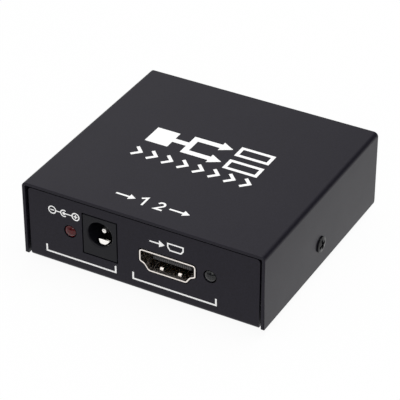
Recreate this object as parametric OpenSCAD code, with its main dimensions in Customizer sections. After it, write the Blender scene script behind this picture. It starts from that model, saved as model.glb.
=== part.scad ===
// Two-way video splitter in a folded steel case.
// The front panel, with the power jack and the input socket, faces -Y. The feet stand on Z = 0.

/* [Case] */
// Width across the cover's side walls
case_w = 64; // [62:1:90]
// Depth of the cover, from its front edge to its rear edge
case_d = 60; // [59:1:90]
// Height of the case, without the feet
case_h = 20.7; // [19.7:0.1:30]
// Thickness of the folded sheet
sheet_t = 0.8; // [0.6:0.1:1]
// Inner radius of every bend
bend_r = 0.4; // [0.3:0.1:1]
// Gap between the panels and the cover's side walls
panel_side_gap = 0.65; // [0.3:0.05:0.8]
// Gap between the panels and the cover's top
panel_top_gap = 0.55; // [0.1:0.05:0.8]
// How far the panels stand back from the cover's edges
panel_recess = 0.45; // [0.05:0.05:0.6]
// Radius of the rounded bottom corners of the panels
panel_corner_r = 0.8; // [0.6:0.1:2]
// Radius of the rounded top corners of the panels
panel_top_r = 0.9; // [0.5:0.1:2]
// Height of the cover's side edges above the case's underside
cover_edge_h = 0.4; // [0.1:0.05:0.6]
// Radius of the rounded lower corners of the cover's side walls
cover_corner_r = 0.6; // [0.3:0.1:1.5]

/* [Cover screws and their tabs] */
// Length of each tab along the side wall
tab_l = 10; // [8:0.5:16]
// Height of each tab above the case's underside
tab_h = 9; // [9:0.5:12]
// Gap between a tab and the cover's side wall
tab_gap = 0.1; // [0.05:0.05:0.3]
// Height of the cover screws above the case's underside
cover_screw_h = 6.7; // [6.1:0.1:6.9]
// Place of the cover screws along the side walls
cover_screw_y = -1; // [-3:0.5:3]
// Thread diameter of the cover screws
cover_screw_d = 2.5; // [2:0.1:3]
// Length of a cover screw under its head
cover_screw_l = 4; // [3:0.5:5]
// Diameter of a cover screw's low head
cover_screw_head_d = 4.1; // [4:0.1:5]
// Height of a cover screw's low head
cover_screw_head_h = 0.6; // [0.5:0.1:1.2]

/* [Feet] */
// Diameter of a rubber foot
foot_d = 8; // [5:0.5:9]
// Height of a rubber foot
foot_h = 1.5; // [1:0.25:4]
// Distance of a foot's middle from the cover's sides and ends
foot_inset = 6.5; // [6:0.25:8]

/* [Circuit board] */
// Thickness of the board
board_t = 1.6; // [1:0.2:2]
// Height of the standoffs under the board
standoff_h = 3.1; // [2.5:0.1:3.7]
// Diameter of a standoff
standoff_d = 5; // [4.5:0.25:6]
// Distance of the standoffs from the board's side edges
standoff_inset = 3.5; // [3:0.25:5]
// Distance of the standoffs from the middle of the depth
standoff_y = 15.5; // [13:0.5:16]
// Gap between the board and the cover's side walls
board_side_gap = 2; // [1.5:0.25:3]
// Gap between the board and the panels
board_end_gap = 0.4; // [0.3:0.1:1]
// Thread diameter of the board screws
board_screw_d = 2.5; // [2:0.1:3]
// Diameter of a board screw's head
board_screw_head_d = 4.5; // [4:0.1:5]
// Height of a board screw's head
board_screw_head_h = 1.5; // [1:0.1:2]

/* [Places along the panels] */
// Middle of the power lamp on the front panel
power_led_x = -19.3; // [-20.5:0.1:-19]
// Middle of the power jack on the front panel
jack_x = -11.2; // [-11.5:0.1:-9.5]
// Middle of the input socket on the front panel
input_x = 6.8; // [5.5:0.1:8.5]
// Middle between the two output sockets on the rear panel
output_mid_x = 2.65; // [1:0.05:4]
// Distance between the two output sockets
output_pitch = 24; // [22.5:0.5:25]
// Distance from each socket to the lamp beside it
socket_led_step = 11.1; // [10.6:0.1:11.8]

/* [Video sockets] */
// Width of the metal shell
socket_w = 14.8; // [14.4:0.1:15.2]
// Height of the metal shell
socket_h = 5.5; // [5.3:0.1:6]
// Width of the shell's flat underside
socket_foot_w = 10; // [9.4:0.1:10.6]
// Height of the shell's straight sides, from its top
socket_side_h = 3.3; // [3:0.1:3.5]
// Thickness of the shell
shell_t = 0.35; // [0.25:0.05:0.4]
// Depth of the socket behind its mouth
socket_l = 11.5; // [10.5:0.5:13]
// Height of the mouth's middle above the board
socket_axis_h = 3.8; // [3.5:0.1:5]
// How far the mouth stands out of the panel
socket_proud = 0.1; // [0:0.05:0.4]
// Gap between the shell and the panel
socket_gap = 0.25; // [0.15:0.05:0.4]
// Width of the tongue that carries the contacts
tongue_w = 10; // [9.8:0.1:11]
// Thickness of the tongue
tongue_t = 1.1; // [0.9:0.1:1.3]
// Height of the tongue's middle above the mouth's middle
tongue_axis_h = -0.45; // [-0.6:0.05:0.2]
// Depth of the tongue's tip behind the mouth
tongue_tip = 2.4; // [2:0.1:2.8]
// Distance between neighbouring contacts of one row
contact_pitch = 1; // [0.95:0.01:1.05]
// Width of one contact
contact_w = 0.36; // [0.3:0.02:0.4]
// Rise of a retention spring above the shell's wall
retention_rise = 0.4; // [0.3:0.05:0.6]

/* [Power jack] */
// Width of the jack's square flange
jack_w = 9; // [8.8:0.1:9.6]
// Height of the jack above the board
jack_h = 11.1; // [10.9:0.1:11.6]
// Depth of the jack behind the panel's face
jack_l = 14.2; // [13.6:0.1:15]
// Height of the bore's axis above the board
jack_axis_h = 6.6; // [6.4:0.1:6.8]
// Height of the square flange's lower edge above the board
jack_flange_lift = 0.35; // [0.3:0.05:0.5]
// Thickness of the square flange
jack_flange_l = 3.4; // [3:0.1:4]
// Diameter of the round barrel behind the flange
jack_barrel_d = 8.2; // [7.8:0.1:8.4]
// Diameter of the bore
jack_bore_d = 6.5; // [6.3:0.1:6.7]
// Depth of the bore
jack_bore_l = 9.5; // [9.3:0.1:10]
// Width of the bevel round the bore
jack_lip = 0.25; // [0.2:0.05:0.5]
// Gap between the jack and the panel
jack_gap = 0.3; // [0.15:0.05:0.3]
// Diameter of the centre pin
jack_pin_d = 2; // [1.6:0.1:2.5]
// Depth of the pin's tip behind the panel's face
jack_pin_tip = 2; // [1.2:0.1:2.5]
// Diameter of the plug's sleeve that the leaf spring presses on
plug_d = 5.5; // [5.3:0.1:5.6]
// Width of the leaf spring
leaf_w = 3.2; // [2.4:0.1:3.3]
// Thickness of the leaf spring
leaf_t = 0.3; // [0.2:0.05:0.35]
// How far the resting leaf reaches into the plug's place
leaf_bite = 0.42; // [0.3:0.02:0.45]
// Angle that a plug turns the leaf down by, in degrees
leaf_swing = 4.5; // [4:0.5:6]

/* [Lamps] */
// Diameter of a lamp's lens
led_d = 2.9; // [2.8:0.1:3.1]
// Radius of the low dome on a lamp's front
led_dome_r = 2.1; // [2:0.1:5]
// Diameter of a lamp's flange
led_flange_d = 3.8; // [3.5:0.1:4.2]
// Thickness of a lamp's flange
led_flange_t = 1; // [0.8:0.1:1.2]
// Length of a lamp from its tip to the back of its flange
led_l = 5.2; // [4.8:0.1:6]
// Height of a lamp's axis above the board
led_axis_h = 4.95; // [4:0.05:6]
// How far a lamp's tip stands out of the panel
led_proud = 0.45; // [0.2:0.05:1]
// Gap between a lamp and its hole in the panel
led_gap = 0.25; // [0.1:0.05:0.3]
// Distance between a lamp's two leads
led_lead_pitch = 2.54; // [2:0.02:2.6]
// Width of a lamp's square leads
led_lead_w = 0.5; // [0.4:0.05:0.6]

/* [Parts on the board] */
// Side of the splitter chip's square body
chip_w = 10; // [9:0.5:10.5]
// Leads on each side of the splitter chip
chip_lead_count = 16; // [8:1:17]
// Distance between the splitter chip's leads
chip_pitch = 0.5; // [0.45:0.01:0.55]
// Length of a memory chip's body
memory_l = 4.9; // [4.4:0.1:5.1]
// Width of a memory chip's body
memory_w = 3.9; // [3.5:0.1:4.2]
// Length of a voltage regulator's body
regulator_l = 6.5; // [6:0.1:7]
// Width of a voltage regulator's body
regulator_w = 3.5; // [3:0.1:3.8]
// Diameter of an electrolytic capacitor
capacitor_d = 6.3; // [5:0.1:6.5]
// Height of an electrolytic capacitor above the board
capacitor_h = 5.7; // [5:0.1:8]
// Length of the crystal's can
crystal_l = 10.4; // [9:0.1:11]
// Side of the power inductor
inductor_w = 5; // [4:0.1:5.5]
// Length of one chip resistor or chip capacitor
chip_part_l = 1.6; // [1.4:0.05:1.7]

/* [Hidden] */
$fn = 48;

// Colours, as the object shows them
case_black = "#37363b";
screw_black = "#1c1b1d";
rubber_black = "#202021";
board_green = "#1d5138";
nickel = "#cfc9c8";
contact_gold = "#c9a35a";
tin = "#c4c6c8";
mould_black = "#17171a";
chip_black = "#222326";
red_lens = "#6b1a22";
clear_lens = "#a9adb3";
aluminium = "#c9cbce";
ceramic_tan = "#b79f7c";
resistor_black = "#1d1e22";

// Clearances that many pieces share
cut = 1;
screw_play = 0.3;
thread_play = 0.04;
mould_play = 0.05;
post_play = 0.2;
post_below = 0.8;
moving_play = 0.25;

// Levels, from the feet up
floor_z = foot_h;
plate_z = floor_z + sheet_t;
board_z = plate_z + standoff_h;
board_top = board_z + board_t;
screw_z = floor_z + cover_screw_h;

// The folded sheets
outer_bend_r = bend_r + sheet_t;
wall_x = case_w / 2 - sheet_t;
panel_w = 2 * (wall_x - panel_side_gap);
panel_y = case_d / 2 - panel_recess;
panel_h = case_h - sheet_t - panel_top_gap;
cover_h = case_h - cover_edge_h;
tab_x = wall_x - tab_gap;
tab_corner_r = 1.5;
tab_relief = 1;
collar_wall = 0.7;
collar_l = 0.8;

// The board and what holds it
board_w = 2 * (wall_x - board_side_gap);
board_d = 2 * (panel_y - sheet_t - board_end_gap);
board_corner_r = 1;
notch_x = case_w / 2 - max(cover_screw_l, sheet_t + tab_gap + sheet_t + collar_l) - post_play;
notch_l = tab_l + 2 * cut;
standoff_x = board_w / 2 - standoff_inset;
standoff_shoulder = 0.4;
standoff_foot_d = standoff_d - 2 * standoff_shoulder;
foot_x = case_w / 2 - foot_inset;
foot_y = case_d / 2 - foot_inset;

// Outline of a video socket's shell, from the middle of its mouth
socket_side_z = socket_h / 2 - socket_side_h;
knee_inset = 0.15;
knee_drop = 0.65;
socket_knee = [(socket_w + socket_foot_w) / 4 - knee_inset, socket_side_z - knee_drop];
socket_points = [
    [-socket_foot_w / 2, -socket_h / 2], [socket_foot_w / 2, -socket_h / 2],
    [socket_knee.x, socket_knee.y], [socket_w / 2, socket_side_z],
    [socket_w / 2, socket_h / 2], [-socket_w / 2, socket_h / 2],
    [-socket_w / 2, socket_side_z], [-socket_knee.x, socket_knee.y]
];
foot_corner_r = 0.9;
knee_r = 1.1;
side_corner_r = 0.6;
top_corner_r = 0.8;
socket_radii = [
    foot_corner_r, foot_corner_r, knee_r, side_corner_r,
    top_corner_r, top_corner_r, side_corner_r, knee_r
];
socket_turns = [1, 1, -1, 1, 1, 1, 1, -1];

// Inside of a video socket, as depths behind its mouth
socket_block_l = 4.2;
socket_block_y = socket_l - socket_block_l;
socket_open_l = 3.4;
socket_tube_l = socket_l - socket_open_l;
pedestal_inset = 0.5;
pedestal_w = socket_foot_w - 2 * pedestal_inset;
leg_w = 1.6;
leg_front_y = 2.8;
leg_back_inset = 2.4;
leg_y = [leg_front_y, socket_l - leg_back_inset];
retention_x = 2.4;
retention_w = 0.9;
retention_slot = 0.25;
retention_tip_y = 1.4;
retention_tip_drop = 0.3;
retention_crest_y = 1.95;
retention_root_y = 6.2;
retention_path = [
    [retention_tip_y, -retention_tip_drop], [retention_crest_y, retention_rise],
    [retention_root_y, 0], [retention_root_y + shell_t, 0]
];
retention_tip_r = 0.1;
retention_crest_r = 0.5;
retention_root_r = 0.2;
upper_contacts = 10;
lower_contacts = 9;
contact_t = 0.2;
contact_sink = 0.12;
contact_back = 0.8;
contact_foot_l = 0.9;
surge_gap = 2.2;
surge_size = [6, 3, 0.9];

// The leaf spring of the power jack, along the bore's floor
leaf_front_y = 1.3;
leaf_front_sink = 0.2;
leaf_front = [leaf_front_y, -jack_bore_d / 2 - leaf_front_sink];
leaf_front_r = 1.3;
leaf_crest_y = 2.1;
leaf_crest = [leaf_crest_y, -plug_d / 2 + leaf_bite - leaf_t / 2];
leaf_crest_r = 0.6;
leaf_root_y = 8.6;
leaf_root_sink = 0.5;
leaf_root = [leaf_root_y, -jack_bore_d / 2 - leaf_root_sink];
leaf_curl_r = 0.45;
leaf_front_drop = (leaf_root.x - leaf_front.x) * sin(leaf_swing);
leaf_slot_floor = leaf_front.y - leaf_t / 2 - leaf_front_drop - moving_play;
ear_front_y = 5.6;
ear_l = 1.2;
ear_y = [ear_front_y, ear_front_y + ear_l];
ear_x = 2.7;
shunt_x = 1.9;
shunt_gap = 0.1;
shunt_z = leaf_height(ear_y[0]) + leaf_t / 2 + shunt_gap;
terminal_t = 0.3;
terminal_w = 2.4;
jack_back_l = 1.5;
pin_terminal_y = jack_bore_l + jack_back_l + mould_play;
pin_chamfer = 0.45;
pin_taper_l = 0.6;
pin_dimple_d = 0.5;
pin_dimple_l = 0.25;
pin_shoulder = 0.3;
pin_seat_d = jack_pin_d + 2 * pin_shoulder;
rivet_lip = 0.2;
rivet_d = pin_seat_d + 2 * rivet_lip;
rivet_l = 0.3;
pocket_play = 0.4;
pocket_w = rivet_d + 2 * pocket_play;

// Lamps
led_back_y = led_l - led_proud;
led_lead_reach = 1.6;
led_flat_cut = 0.25;

// Parts on the board: places are from the middle of the board
part_gap = 0.5;
wide_gap = 2;
lead_t = 0.15;
chip_lift = 0.1;
chip_t = 1.4;
chip_lead_w = 0.22;
chip_lead_l = 1;
chip_at = [7, 0];
chip_edge = chip_w / 2 + chip_lead_l;
memory_t = 1.5;
memory_lead_count = 4;
memory_pitch = 1.27;
memory_lead_w = 0.4;
memory_lead_l = 1.05;
memory_x = chip_at.x + chip_edge + wide_gap + memory_l / 2;
memory_y = memory_w / 2 + memory_lead_l + wide_gap;
memory_at = [[memory_x, -memory_y], [memory_x, memory_y]];
inductor_h = 2.6;
inductor_at = [-8, 0];
crystal_w = 4;
crystal_h = 3.4;
crystal_foot = 0.5;
crystal_foot_t = 0.4;
crystal_at = [inductor_at.x, inductor_at.y + inductor_w / 2 + wide_gap + crystal_foot + crystal_w / 2];
capacitor_seat_h = 1;
capacitor_seat_rim = 0.3;
capacitor_chamfer = 1.2;
capacitor_groove = 0.25;
capacitor_seat_w = capacitor_d + 2 * capacitor_seat_rim;
regulator_t = 1.6;
regulator_lead_count = 3;
regulator_pitch = 2.3;
regulator_lead_w = 0.7;
regulator_tab_w = 3;
regulator_lead_l = 1.75;
supply_half_w = max(regulator_l, capacitor_seat_w) / 2;
supply_x = crystal_at.x - crystal_l / 2 - crystal_foot - part_gap - supply_half_w;
regulator_half = regulator_w / 2 + regulator_lead_l;
regulator_at = [[supply_x, -regulator_half - wide_gap], [supply_x, regulator_half]];
capacitor_at = [
    [inductor_at.x, inductor_at.y - inductor_w / 2 - wide_gap - capacitor_seat_w / 2],
    [supply_x, 2 * regulator_half + part_gap + capacitor_seat_w / 2]
];
diode_size = [2.6, 4.3, 2.1];
diode_tab = [1.5, 5.2, 0.4];
diode_inset = 9.9;
diode_at = [(jack_x + jack_w / 2 + input_x - socket_w / 2) / 2, diode_inset - panel_y];
chip_part_w = 0.8;
chip_part_h = 0.5;
chip_part_cap = 0.3;
chip_row_count = 8;
chip_row_pitch = 1.8;
capacitor_row_y = chip_edge + part_gap + chip_part_l / 2;
resistor_row_y = capacitor_row_y + chip_part_l + part_gap;

output_x = [output_mid_x + output_pitch / 2, output_mid_x - output_pitch / 2];

// Height of the resting leaf's middle line, behind its crest
function leaf_height(y) =
    leaf_crest.y + (leaf_root.y - leaf_crest.y) * (y - leaf_crest.x) / (leaf_root.x - leaf_crest.x);

function unit(v) = v / norm(v);

// Normal of the edge from a to b that points out of an outline drawn anticlockwise
function outward(a, b) = let (d = unit(b - a)) [d.y, -d.x];

// The outline with every edge moved outward
function grown(points, by) =
    let (n = len(points))
    [for (i = [0 : n - 1])
        let (before = outward(points[(i + n - 1) % n], points[i]))
        let (after = outward(points[i], points[(i + 1) % n]))
        points[i] + by * (before + after) / (1 + before * after)];

// The path moved to its right, by the thickness of the strip that it bends
function beside(path, by) =
    let (last = len(path) - 1)
    [for (i = [0 : last])
        let (before = outward(path[max(i, 1) - 1], path[max(i, 1)]))
        let (after = outward(path[min(i, last - 1)], path[min(i, last - 1) + 1]))
        path[i] + by * (before + after) / (1 + before * after)];

function reversed(path) = [for (i = [len(path) - 1 : -1 : 0]) path[i]];

// Points of the arc that rounds one corner
function corner_arc(before, corner, after, r, steps) =
    let (back = unit(before - corner), on = unit(after - corner))
    let (half = acos(back * on) / 2)
    let (centre = corner + unit(back + on) * r / sin(half))
    let (start = corner + back * r / tan(half) - centre)
    let (end = corner + on * r / tan(half) - centre)
    let (first = atan2(start.y, start.x))
    let (turn = atan2(start.x * end.y - start.y * end.x, start * end))
    [for (i = [0 : steps]) centre + r * [cos(first + turn * i / steps), sin(first + turn * i / steps)]];

// The outline with every corner rounded
function rounded(points, radii, steps = 5) =
    let (n = len(points))
    [for (i = [0 : n - 1])
        each corner_arc(points[(i + n - 1) % n], points[i], points[(i + 1) % n], radii[i], steps)];

// Drawn outline (across, up) carried along X, about the middle
module along_x(length) {
    rotate([90, 0, 90])
        translate([0, 0, -length / 2])
            linear_extrude(length)
                children();
}

// Drawn outline (across, up) carried along Y, about the middle
module along_y(length) {
    rotate([90, 0, 0])
        translate([0, 0, -length / 2])
            linear_extrude(length)
                children();
}

// Drawn outline (across, up) carried into the case, from one depth to another
module inward(from, to) {
    translate([0, to, 0])
        rotate([90, 0, 0])
            linear_extrude(to - from)
                children();
}

// Upright outline with its two top corners rounded
module fold_outline(w, h, r) {
    translate([-w / 2, 0])
        square([w, h - r]);
    translate([-w / 2 + r, 0])
        square([w - 2 * r, h]);
    for (side = [-1, 1])
        translate([side * (w / 2 - r), h - r])
            circle(r);
}

// Section of a sheet folded to a U that stands on its floor
module channel_section(w, h) {
    difference() {
        translate([0, h])
            mirror([0, 1])
                fold_outline(w, h, outer_bend_r);
        translate([0, h + cut])
            mirror([0, 1])
                fold_outline(w - 2 * sheet_t, h + cut - sheet_t, bend_r);
    }
}

// Rectangle with rounded corners, about its middle
module rounded_rectangle(w, l, r) {
    square([w - 2 * r, l], center = true);
    square([w, l - 2 * r], center = true);
    for (x = [-1, 1], y = [-1, 1])
        translate([x * (w / 2 - r), y * (l / 2 - r)])
            circle(r);
}

// A place on the outer face of a panel, looking into the case along +Y
module at_panel(x, rear, h) {
    translate([x, rear ? panel_y : -panel_y, board_top + h])
        rotate([0, 0, rear ? 180 : 0])
            children();
}

module at_socket(x, rear) {
    at_panel(x, rear, socket_axis_h)
        translate([0, -socket_proud, 0])
            children();
}

module at_every_socket() {
    at_socket(input_x, false)
        children();
    for (x = output_x)
        at_socket(x, true)
            children();
}

module at_jack() {
    at_panel(jack_x, false, jack_axis_h)
        children();
}

module at_every_led() {
    at_panel(power_led_x, false, led_axis_h)
        children();
    at_panel(input_x + socket_led_step, false, led_axis_h)
        children();
    for (x = output_x)
        at_panel(x - socket_led_step, true, led_axis_h)
            children();
}

module at_board_holes() {
    for (x = [-1, 1], y = [-1, 1])
        translate([x * standoff_x, y * standoff_y, 0])
            children();
}

module at_on_board(place) {
    translate([place.x, place.y, board_top])
        children();
}

// Case

module top_cover() {
    color(case_black)
        difference() {
            translate([0, 0, floor_z + cover_edge_h])
                intersection() {
                    along_y(case_d + 2 * cut)
                        difference() {
                            translate([0, -cut])
                                fold_outline(case_w, cover_h + cut, outer_bend_r);
                            translate([0, -2 * cut])
                                fold_outline(2 * wall_x, cover_h - sheet_t + 2 * cut, bend_r);
                        }
                    along_x(case_w + 2 * cut)
                        translate([0, cover_h + cut])
                            mirror([0, 1])
                                fold_outline(case_d, cover_h + cut, cover_corner_r);
                }
            translate([0, cover_screw_y, screw_z])
                rotate([0, 90, 0])
                    cylinder(d = cover_screw_d + screw_play, h = case_w + 2 * cut, center = true);
        }
}

// Corner pieces cut away where the panels bend up from the floor
module panel_corner_cuts() {
    for (side = [-1, 1], y = [-1, 1])
        translate([side * panel_w / 2, y * (panel_y - outer_bend_r / 2), floor_z])
            along_y(outer_bend_r + 2 * sheet_t)
                difference() {
                    translate([-panel_corner_r, -panel_corner_r])
                        square(2 * panel_corner_r);
                    translate([-side * panel_corner_r, panel_corner_r])
                        circle(panel_corner_r);
                    translate([-panel_corner_r, panel_corner_r])
                        square([2 * panel_corner_r, cut]);
                    translate([-side * 2 * panel_corner_r - panel_corner_r, -panel_corner_r])
                        square(2 * panel_corner_r);
                }
}

// Floor strip with both upright tabs that take the cover screws
module tab_strip() {
    difference() {
        union() {
            translate([0, cover_screw_y, floor_z])
                intersection() {
                    along_y(tab_l)
                        channel_section(2 * tab_x, tab_h);
                    along_x(2 * tab_x)
                        fold_outline(tab_l, tab_h, tab_corner_r);
                }
            for (side = [-1, 1])
                translate([side * (tab_x - sheet_t - collar_l / 2), cover_screw_y, screw_z])
                    rotate([0, 90, 0])
                        cylinder(d = cover_screw_d + 2 * collar_wall, h = collar_l, center = true);
        }
        translate([0, cover_screw_y, screw_z])
            rotate([0, 90, 0])
                cylinder(d = cover_screw_d + thread_play, h = case_w, center = true);
    }
}

module panel_openings() {
    at_every_socket()
        inward(-cut, sheet_t + 2 * cut)
            socket_outline(socket_gap);
    at_jack()
        translate([-jack_w / 2 - jack_gap, -cut, jack_flange_lift - jack_axis_h - jack_gap])
            cube([jack_w + 2 * jack_gap, sheet_t + 2 * cut, jack_h - jack_flange_lift + 2 * jack_gap]);
    at_every_led()
        inward(-cut, sheet_t + cut)
            circle(d = led_d + 2 * led_gap);
}

module base_tray() {
    relief_x = tab_x - outer_bend_r - tab_relief;
    color(case_black)
        difference() {
            union() {
                difference() {
                    translate([0, 0, floor_z])
                        intersection() {
                            along_x(panel_w)
                                channel_section(2 * panel_y, panel_h);
                            along_y(case_d)
                                fold_outline(panel_w, panel_h, panel_top_r);
                        }
                    for (side = [-1, 1])
                        translate([side * (relief_x + case_w / 2), cover_screw_y, plate_z])
                            cube([case_w, tab_l + 2 * tab_relief, 4 * sheet_t], center = true);
                    panel_corner_cuts();
                }
                tab_strip();
            }
            panel_openings();
            at_board_holes()
                translate([0, 0, floor_z - cut])
                    cylinder(d = standoff_foot_d + thread_play, h = sheet_t + 2 * cut);
        }
}

// A screw with its head's underside at the origin, pointing down
module screw(d, l, head_d, head_h) {
    tip = d / 5;
    dome_r = head_d * 2;
    slot_w = head_d / 5.5;
    slot_l = head_d * 0.66;
    slot_floor = head_h * 0.2;
    slot_turn = 15;
    difference() {
        intersection() {
            cylinder(d = head_d, h = head_h);
            translate([0, 0, head_h - dome_r])
                sphere(dome_r, $fn = 96);
        }
        for (turn = [0, 90])
            rotate([0, 0, slot_turn + turn])
                translate([-slot_l / 2, -slot_w / 2, slot_floor])
                    cube([slot_l, slot_w, head_h]);
    }
    translate([0, 0, -l + tip])
        cylinder(d = d, h = l - tip);
    translate([0, 0, -l])
        cylinder(d1 = d - 2 * tip, d2 = d, h = tip);
}

module cover_screws() {
    color(screw_black)
        for (side = [-1, 1])
            translate([side * case_w / 2, cover_screw_y, screw_z])
                rotate([0, side * 90, 0])
                    screw(cover_screw_d, cover_screw_l, cover_screw_head_d, cover_screw_head_h);
}

module rubber_feet() {
    edge = foot_h / 4;
    taper = foot_h / 6;
    color(rubber_black)
        for (x = [-1, 1], y = [-1, 1])
            translate([x * foot_x, y * foot_y, 0])
                rotate_extrude()
                    polygon([
                        [0, 0], [foot_d / 2 - taper - edge, 0], [foot_d / 2 - taper, edge],
                        [foot_d / 2, foot_h], [0, foot_h]
                    ]);
}

// Board and its fixings

module board_standoffs() {
    color(tin)
        at_board_holes()
            difference() {
                union() {
                    translate([0, 0, floor_z])
                        cylinder(d = standoff_foot_d, h = sheet_t);
                    translate([0, 0, plate_z])
                        cylinder(d = standoff_d, h = standoff_h);
                }
                translate([0, 0, floor_z - cut])
                    cylinder(d = board_screw_d + thread_play, h = sheet_t + standoff_h + 2 * cut);
            }
}

module board_screws() {
    color(tin)
        at_board_holes()
            translate([0, 0, board_top])
                screw(board_screw_d, board_t + standoff_h, board_screw_head_d, board_screw_head_h);
}

module main_board() {
    color(board_green)
        difference() {
            translate([0, 0, board_z])
                linear_extrude(board_t)
                    rounded_rectangle(board_w, board_d, board_corner_r);
            at_board_holes()
                translate([0, 0, board_z - cut])
                    cylinder(d = board_screw_d + screw_play, h = board_t + 2 * cut);
            for (side = [-1, 1])
                translate([side * (notch_x + case_w / 2), cover_screw_y, board_z])
                    cube([case_w, notch_l, 4 * board_t], center = true);
            at_every_socket()
                socket_legs(post_play);
            at_jack()
                jack_terminals(post_play);
            at_every_led()
                led_lead_posts(post_play);
        }
}

// Video sockets, from the middle of the mouth and into the case along +Y

module socket_outline(by) {
    radii = [for (i = [0 : len(socket_radii) - 1]) socket_radii[i] + by * socket_turns[i]];
    polygon(rounded(grown(socket_points, by), radii));
}

// The shell's four legs, or with play the slots that they pass through
module socket_legs(play) {
    low = -socket_axis_h - board_t - post_below;
    for (side = [-1, 1], y = leg_y)
        translate([side * (socket_w / 2 - shell_t / 2), y, (low + socket_side_z + leg_w / 2) / 2])
            cube([shell_t + 2 * play, leg_w + 2 * play, socket_side_z + leg_w / 2 - low], center = true);
}

// One retention spring, rising from the wall below it
module retention_spring() {
    along_x(retention_w)
        polygon(rounded(concat(beside(retention_path, shell_t), reversed(retention_path)), [
            retention_tip_r, retention_crest_r - shell_t, retention_root_r, shell_t / 8,
            shell_t / 8, retention_root_r, retention_crest_r, retention_tip_r
        ]));
}

module at_retention_springs() {
    for (flip = [0, 1], side = [-1, 1])
        mirror([0, 0, flip])
            translate([side * retention_x, 0, -socket_h / 2 + shell_t])
                children();
}

module socket_shell() {
    window_w = retention_w + 2 * retention_slot;
    window_y = retention_tip_y - retention_slot;
    difference() {
        inward(0, socket_l)
            socket_outline(0);
        inward(-cut, socket_l + cut)
            socket_outline(-shell_t);
        translate([-socket_w, socket_tube_l, socket_side_z - socket_h])
            cube([2 * socket_w, socket_l, socket_h]);
        at_retention_springs()
            translate([-window_w / 2, window_y, -2 * shell_t])
                cube([window_w, retention_root_y - window_y, 4 * shell_t]);
    }
    at_retention_springs()
        retention_spring();
    socket_legs(0);
}

// One contact: along the tongue, out of the back, down to the board
module contact(top) {
    low = -socket_axis_h;
    front_y = tongue_tip + contact_back;
    tail_y = socket_l + mould_play;
    bend_y = tail_y + contact_t;
    foot_y = bend_y + contact_foot_l;
    along_x(contact_w)
        polygon([
            [front_y, top - contact_t], [tail_y, top - contact_t], [tail_y, low], [foot_y, low],
            [foot_y, low + contact_t], [bend_y, low + contact_t], [bend_y, top], [front_y, top]
        ]);
}

module contact_row(count, top) {
    for (i = [0 : count - 1])
        translate([(i - (count - 1) / 2) * contact_pitch, 0, 0])
            contact(top);
}

module socket_contacts() {
    contact_row(upper_contacts, tongue_axis_h + tongue_t / 2 + contact_t - contact_sink);
    contact_row(lower_contacts, tongue_axis_h - tongue_t / 2 + contact_sink);
}

module socket_insulator() {
    bevel = tongue_t / 4;
    half = tongue_t / 2;
    difference() {
        union() {
            translate([0, 0, tongue_axis_h])
                along_x(tongue_w)
                    polygon([
                        [tongue_tip, bevel - half], [tongue_tip + bevel, -half], [socket_l - cut, -half],
                        [socket_l - cut, half], [tongue_tip + bevel, half], [tongue_tip, half - bevel]
                    ]);
            inward(socket_block_y, socket_l)
                socket_outline(-shell_t - mould_play);
            translate([-pedestal_w / 2, socket_tube_l + mould_play, -socket_axis_h])
                cube([pedestal_w, socket_l - socket_tube_l - mould_play, socket_axis_h]);
        }
        socket_contacts();
    }
}

module input_shell() {
    color(nickel)
        at_socket(input_x, false)
            socket_shell();
}

module input_insulator() {
    color(mould_black)
        at_socket(input_x, false)
            socket_insulator();
}

module input_contacts() {
    color(contact_gold)
        at_socket(input_x, false)
            socket_contacts();
}

module output_shell(i) {
    color(nickel)
        at_socket(output_x[i], true)
            socket_shell();
}

module output_insulator(i) {
    color(mould_black)
        at_socket(output_x[i], true)
            socket_insulator();
}

module output_contacts(i) {
    color(contact_gold)
        at_socket(output_x[i], true)
            socket_contacts();
}

// Power jack, from the middle of the bore and into the case along +Y

// Foot of the leaf spring, or with play the way that it takes through the body and the board
module sleeve_terminal(play) {
    top = leaf_root.y - leaf_curl_r - shunt_gap;
    low = -jack_axis_h - board_t - post_below;
    translate([0, leaf_root.x, (top + low) / 2])
        cube([terminal_w + 2 * play, terminal_t + 2 * play, top - low], center = true);
}

module pin_terminal(play) {
    low = -jack_axis_h - board_t - post_below;
    translate([-rivet_d / 2 - play, pin_terminal_y - play, low])
        cube([rivet_d + 2 * play, terminal_t + 2 * play, -low]);
}

module shunt_terminal(play) {
    low = -jack_axis_h - board_t - post_below;
    side_x = jack_barrel_d / 2 + mould_play;
    translate([side_x - play, ear_y[0] - play, low])
        cube([terminal_t + 2 * play, ear_l + 2 * play, shunt_z + terminal_t - low]);
}

module jack_terminals(play) {
    sleeve_terminal(play);
    pin_terminal(play);
    shunt_terminal(play);
}

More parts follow.
